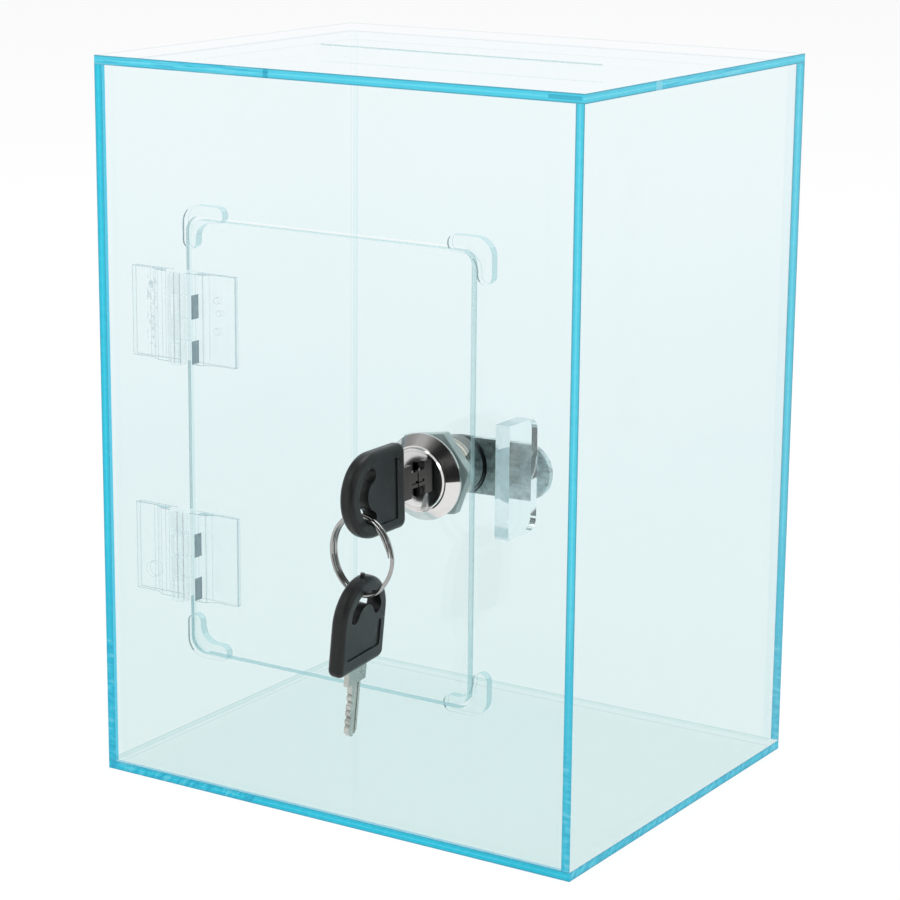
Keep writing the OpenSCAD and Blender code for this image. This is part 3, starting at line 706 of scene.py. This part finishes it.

# %% [markdown]
# ## Plated metal
#
# The lock's face ring and plug are bright plated, the nut, cam and blades are plain nickel with fine
# brush marks and small stains. Both are a metal surface whose roughness and height come from noise.
# Painted shade darkens the barrel's thread grooves and its end, the cam carries a painted dark
# reflection of the barrel's end, and the key blade in the lock is painted dark as a reflection.

# %% Metal finishes
def plated(name, colour, rough, brush=(1, 1, 1), scale=300.0, depth=0.1, extra=None, bare=1.0):
    """Metal with fine marks: brush stretches them along the object's axes. extra(tree, tone) may
    change the colour by place, and bare is under 1 where the plating is dulled by a matt film."""
    material, tree, output = new_finish(name)
    marks = grain(tree, scale, brush, 6.0, 0.65)
    stain = grain(tree, 90.0, (1, 1, 1), 3.0)
    spread = put(tree, "MapRange", {"Value": marks, "To Min": rough * 0.7, "To Max": rough * 1.5}).outputs[0]
    dark = tuple(c * 0.72 for c in colour[:3]) + (1,)
    tone = blend_colour(tree, ramp(tree, stain, [(0.45, (0, 0, 0, 1)), (0.75, (1, 1, 1, 1))]), colour, dark)
    if extra:
        tone = extra(tree, tone)
    bump = put(tree, "Bump", {"Strength": depth, "Distance": 0.0001, "Height": marks}).outputs[0]
    metal = put(tree, "BsdfPrincipled", {
        "Base Color": tone, "Metallic": bare, "Roughness": spread, "Normal": bump,
    }).outputs[0]
    tree.links.new(metal, output.inputs["Surface"])
    return material


def object_place(tree):
    return split(tree, put(tree, "TexCoord").outputs["Object"])


def threads(tree, tone):
    """The barrel behind the face ring: brassy, with painted shade in the dark lines between the threads,
    and painted shade that darkens its end beside the cam."""
    depth = object_place(tree)[1]
    groove = maths(tree, "PINGPONG", depth, THREAD_PITCH / 2)
    groove = maths(tree, "DIVIDE", groove, THREAD_PITCH / 2)
    # Painted shade: dark lines in the grooves between the threads.
    thread = ramp(tree, groove, [(0.0, (0.26, 0.23, 0.19, 1)), (0.3, (0.60, 0.55, 0.47, 1)), (1.0, (0.84, 0.80, 0.73, 1))])
    # Painted shade: the barrel darkens towards its end beside the cam.
    shaded = put(tree, "MapRange", {"Value": depth, "From Min": BARREL_DARK - 1.5 * MM, "From Max": BARREL_DARK})
    thread = blend_colour(tree, maths(tree, "MULTIPLY", shaded.outputs[0], 0.9), thread, (0.20, 0.22, 0.22, 1))
    return blend_colour(tree, maths(tree, "GREATER_THAN", depth, BARREL_FROM), tone, thread)


def cam_wear_and_shade(tree, tone):
    """Galvanised blotches and scratches, and beside the barrel a painted dark reflection of its end: a dark arc, and
    painted shade inside it that is darkest above the lock's middle and fades below it.
    """
    place = object_place(tree)
    blotch = ramp(tree, grain(tree, 330.0, (1, 1, 1.6), 5.0, 0.7), [(0.40, (0, 0, 0, 1)), (0.62, (1, 1, 1, 1))])
    tone = blend_colour(tree, blotch, tone, (0.33, 0.39, 0.40, 1))
    scratch = ramp(tree, grain(tree, 420.0, (0.12, 1, 1.5), 3.0, 0.6), [(0.60, (0, 0, 0, 1)), (0.64, (1, 1, 1, 1))])
    tone = blend_colour(tree, maths(tree, "MULTIPLY", scratch, 0.5), tone, (0.75, 0.78, 0.78, 1))
    # Painted dark reflection of the barrel's end: darker within a circle round the lock, with a dark line at its rim.
    dx, dz = maths(tree, "SUBTRACT", place[0], LOCK_PLACE.x), maths(tree, "SUBTRACT", place[2], LOCK_PLACE.z)
    away = maths(tree, "SQRT", maths(tree, "ADD", maths(tree, "MULTIPLY", dx, dx), maths(tree, "MULTIPLY", dz, dz)))
    inside = maths(tree, "LESS_THAN", away, BARREL_SHADE_R)
    shade = put(tree, "MapRange", {"Value": dz, "From Min": -6 * MM, "From Max": 0.0, "To Min": 0.2, "To Max": 0.95})
    tone = blend_colour(tree, maths(tree, "MULTIPLY", inside, shade.outputs[0]), tone, (0.05, 0.06, 0.06, 1))
    return blend_colour(tree, within(tree, away, BARREL_SHADE_R, 0.2 * MM), tone, (0.03, 0.035, 0.035, 1))


THREAD_PITCH, BARREL_FROM = 1.5 * MM, -60.0 * MM
BARREL_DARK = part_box("lock_housing")[1].y - 4.0 * MM
BARREL_SHADE_R = 8.3 * MM
face_and_barrel = plated("face_and_barrel", (0.74, 0.73, 0.72, 1), 0.10, scale=420.0, depth=0.10, extra=threads)
polished_plug = plated("polished_plug", (0.72, 0.72, 0.72, 1), 0.05, scale=260.0, depth=0.02)
brushed_nickel = plated("brushed_nickel", (0.52, 0.54, 0.51, 1), 0.24, (0.15, 1, 1), depth=0.2)
# Painted dark reflection: the blade in the lock is drawn dark, for the dark parts round it that it mirrors.
nickel_painted_dark = plated("nickel_painted_dark", (0.085, 0.085, 0.083, 1), 0.16, (1, 0.3, 1), 420.0, 0.2)
ring_steel = plated("ring_steel", (0.40, 0.40, 0.39, 1), 0.10, (1, 1, 1), 300.0, 0.06)
dull_nickel = plated("dull_nickel", (0.47, 0.53, 0.52, 1), 0.36, (1, 1, 1), 180.0, depth=0.25, bare=0.35)
galvanised = plated("galvanised", (0.68, 0.80, 0.82, 1), 0.30, (1, 1, 1), 180.0, extra=cam_wear_and_shade)
wear("lock_housing", face_and_barrel)
wear("lock_plug", polished_plug)
wear("lock_cam", galvanised)
wear("cam_nut", dull_nickel)
wear("spare_key_blade", brushed_nickel)
wear("key_blade", nickel_painted_dark)
print("metal finished")

# %% [markdown]
# ## Lock nut
#
# A thin six-sided nut holds the lock's barrel behind the door. It is stamped from plate, so its edges
# are softly rounded. A hexagon's outline is bridged to a round bore, the flat ring is drawn out to
# its thickness, and its outer edges are bevelled. It takes the place of the plain solid nut, turned
# as far as it is tightened in the photograph.

# %% Make the lock nut
NUT_FLATS, NUT_BORE_R, NUT_ROUND = 21.0 * MM, 8.3 * MM, 0.28 * MM
NUT_CORNER = math.radians(10)
NUT_SIDES, SIDE_PARTS = 6, 8


def make_lock_nut():
    front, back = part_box("lock_nut")[0].y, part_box("lock_nut")[1].y
    shape = bmesh.new()
    bmesh.ops.create_circle(shape, segments=NUT_SIDES, radius=NUT_FLATS / 2 / math.cos(math.pi / NUT_SIDES))
    bmesh.ops.subdivide_edges(shape, edges=shape.edges[:], cuts=SIDE_PARTS - 1)
    bmesh.ops.create_circle(shape, segments=NUT_SIDES * SIDE_PARTS, radius=NUT_BORE_R)
    flat = bmesh.ops.bridge_loops(shape, edges=shape.edges[:])["faces"]
    drawn = bmesh.ops.extrude_face_region(shape, geom=flat, use_keep_orig=True)["geom"]
    bmesh.ops.translate(shape, vec=(0, 0, back - front), verts=[v for v in drawn if isinstance(v, bmesh.types.BMVert)])
    bmesh.ops.recalc_face_normals(shape, faces=shape.faces[:])
    outline = [e for e in shape.edges if len(e.link_faces) == 2 and e.calc_face_angle() > 0.5
               and min(v.co.xy.length for v in e.verts) > NUT_BORE_R + MM]
    bmesh.ops.bevel(shape, geom=outline, offset=NUT_ROUND, segments=3, profile=0.5, material=-1, affect="EDGES")
    farthest = max(shape.verts, key=lambda v: v.co.xy.length).co
    corner = math.atan2(farthest.y, farthest.x)
    bmesh.ops.rotate(shape, cent=(0, 0, 0), matrix=Matrix.Rotation(NUT_CORNER - corner, 3, "Z"), verts=shape.verts)
    bmesh.ops.rotate(shape, cent=(0, 0, 0), matrix=Matrix.Rotation(math.pi / 2, 3, "X"), verts=shape.verts)
    bmesh.ops.translate(shape, vec=(LOCK_PLACE.x, back, LOCK_PLACE.z), verts=shape.verts)
    mesh = bpy.data.meshes.new("nut_on_barrel")
    shape.to_mesh(mesh)
    shape.free()
    mesh.materials.append(dull_nickel)
    nut = bpy.data.objects.new("nut_on_barrel", mesh)
    scene.collection.objects.link(nut)
    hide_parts("lock_nut")
    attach(nut, "door")
    return nut


lock_nut = make_lock_nut()

# %% [markdown]
# ## Moulded bows
#
# The key bows are black plastic with the soft gloss and the fine orange-peel of a mould.

# %% Bow finish
def moulded_black():
    material, tree, output = new_finish("black_moulding")
    peel = grain(tree, 900.0, detail=2.0)
    dust = grain(tree, 260.0, detail=5.0)
    tone = blend_colour(tree, ramp(tree, dust, [(0.5, (0, 0, 0, 1)), (0.85, (1, 1, 1, 1))]),
                        (0.009, 0.0105, 0.0105, 1), (0.020, 0.023, 0.023, 1))
    rough = put(tree, "MapRange", {"Value": dust, "To Min": 0.22, "To Max": 0.40}).outputs[0]
    bump = put(tree, "Bump", {"Strength": 0.12, "Distance": 0.0001, "Height": peel}).outputs[0]
    plastic = put(tree, "BsdfPrincipled", {
        "Base Color": tone, "Roughness": rough, "IOR": 1.5, "Specular IOR Level": 0.28, "Normal": bump,
    }).outputs[0]
    tree.links.new(plastic, output.inputs["Surface"])
    return material


black_moulding = moulded_black()
for name in ("key_bow", "spare_key_bow"):
    wear(name, black_moulding)
print("bows finished")

# %% [markdown]
# ## Split ring
#
# A split ring is one springy wire wound almost twice round. It crosses from one coil to the other
# over a short stretch. The wire is the solid's, drawn finer and round, with its coils closed up and
# its ends ground thin, so that a key slides on easily.

# %% Wind the ring
RING_R, RING_WIRE, RING_PITCH = 10.1 * MM, 1.05 * MM, 1.18 * MM
RING_CROSS, RING_START, RING_YAW = 60.0, 8.0, math.radians(-11.4)
RING_TURN = 710.0 - RING_CROSS
RING_POINTS = 160
RING_TIP, RING_TAPER = 0.4, 5
ring_low, ring_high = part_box("key_ring")
RING_CENTRE = (ring_low + ring_high) / 2


def ease(t):
    """A smooth step from 0 to 1."""
    t = min(max(t, 0.0), 1.0)
    return t * t * (3 - 2 * t)


def ring_place(turn):
    """The wire's middle after turn degrees."""
    angle = math.radians(turn + RING_START)
    along = RING_PITCH * (ease((turn - 360 + RING_CROSS) / RING_CROSS) - 0.5)
    level = Vector((RING_R * math.cos(angle), along, RING_R * math.sin(angle)))
    return RING_CENTRE + Matrix.Rotation(RING_YAW, 3, "Z") @ level


def wind_ring():
    curve = bpy.data.curves.new("split_ring", "CURVE")
    curve.dimensions = "3D"
    curve.bevel_depth = RING_WIRE / 2
    curve.bevel_resolution = 3
    curve.use_fill_caps = True
    wire = curve.splines.new("POLY")
    wire.points.add(RING_POINTS)
    for i, point in enumerate(wire.points):
        point.co = (*ring_place(RING_TURN * i / RING_POINTS), 1)
        from_end = min(i, RING_POINTS - i) / RING_TAPER
        point.radius = RING_TIP + (1 - RING_TIP) * ease(from_end)
    holder = bpy.data.objects.new("split_ring_curve", curve)
    scene.collection.objects.link(holder)
    bpy.context.view_layer.update()
    mesh = bpy.data.meshes.new_from_object(holder.evaluated_get(bpy.context.evaluated_depsgraph_get()))
    bpy.data.objects.remove(holder)
    mesh.shade_smooth()
    ring = bpy.data.objects.new("split_ring", mesh)
    scene.collection.objects.link(ring)
    mesh.materials.clear()
    mesh.materials.append(ring_steel)
    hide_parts("key_ring")
    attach(ring, "ring")
    return ring


split_ring = wind_ring()
print("ring faces", len(split_ring.data.polygons))
